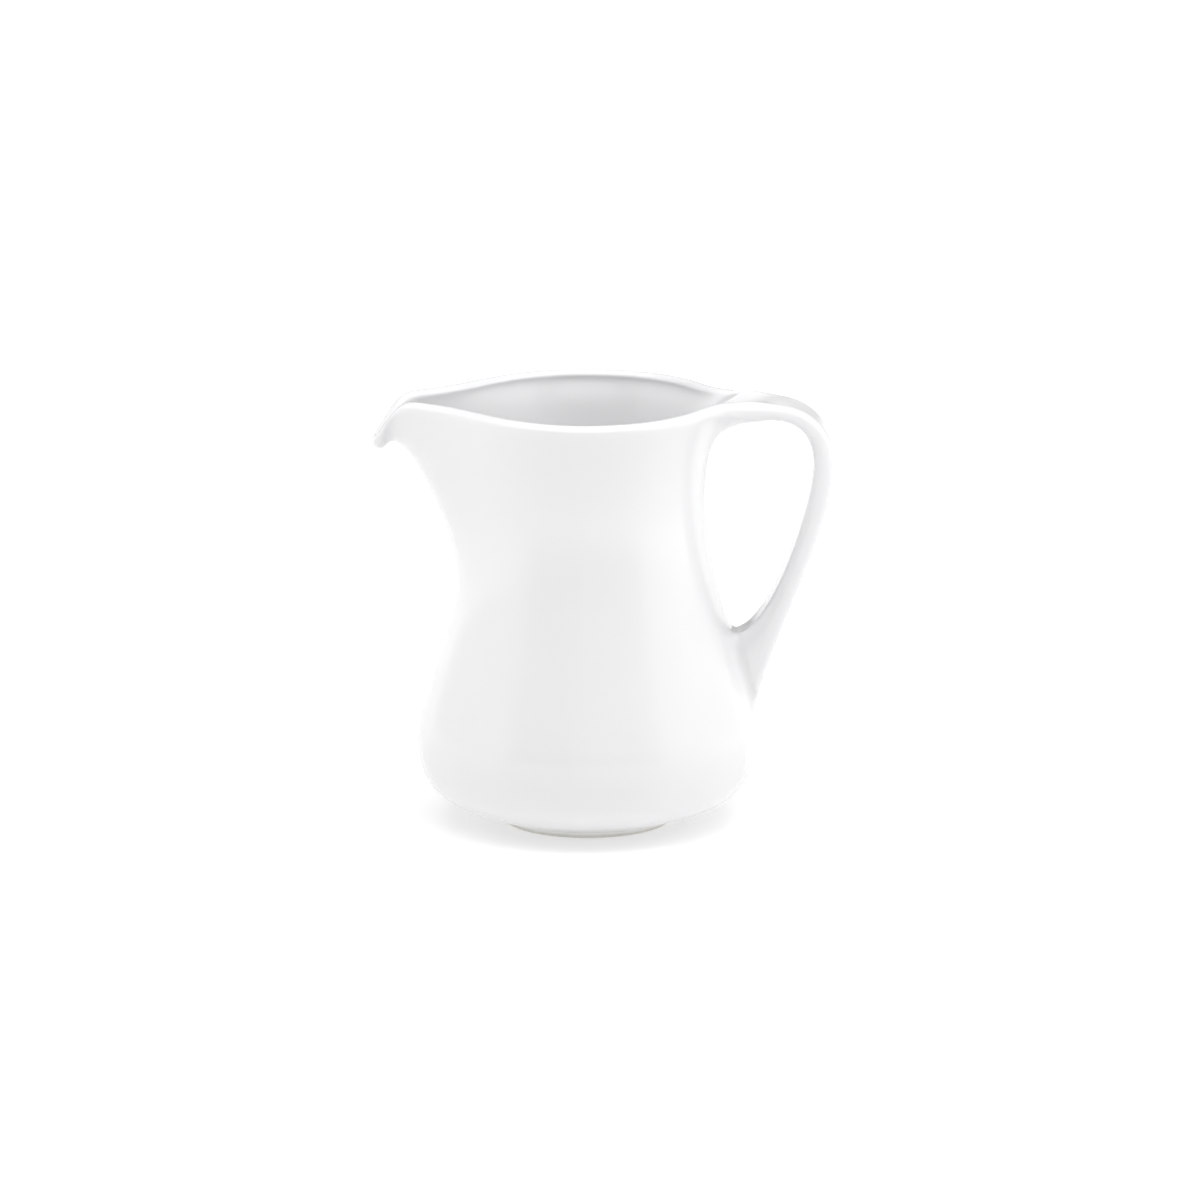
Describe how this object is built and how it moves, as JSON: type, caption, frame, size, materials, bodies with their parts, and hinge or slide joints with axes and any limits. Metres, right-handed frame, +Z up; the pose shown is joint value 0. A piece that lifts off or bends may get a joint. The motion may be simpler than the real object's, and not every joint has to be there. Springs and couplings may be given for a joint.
{
  "type": "ceramic pitcher",
  "caption": "Small white porcelain pitcher with a waisted body, a drooping pouring lip and a strap handle that grows out of the rim; for pouring milk or cream.",
  "frame": {"origin": "on the surface that the pitcher stands on, below the middle of its overall length from spout tip to handle", "axes": "+X towards the handle, -X towards the spout, +Z up out of the mouth, +Y completes a right-handed frame"},
  "size_m": [0.109, 0.0806, 0.1024],
  "materials": {
    "glazed_porcelain": "glossy clear glaze over white porcelain",
    "vitrified_slip": "fired luting slip under the same clear glaze",
    "bare_porcelain": "unglazed, ground flat, matt with fine grit"
  },
  "bodies": {
    "root": {"body": "glazed_porcelain", "handle": "glazed_porcelain", "upper_slip_joint": "vitrified_slip", "lower_slip_joint": "vitrified_slip", "foot_ring": "bare_porcelain"}
  },
  "joints": []
}
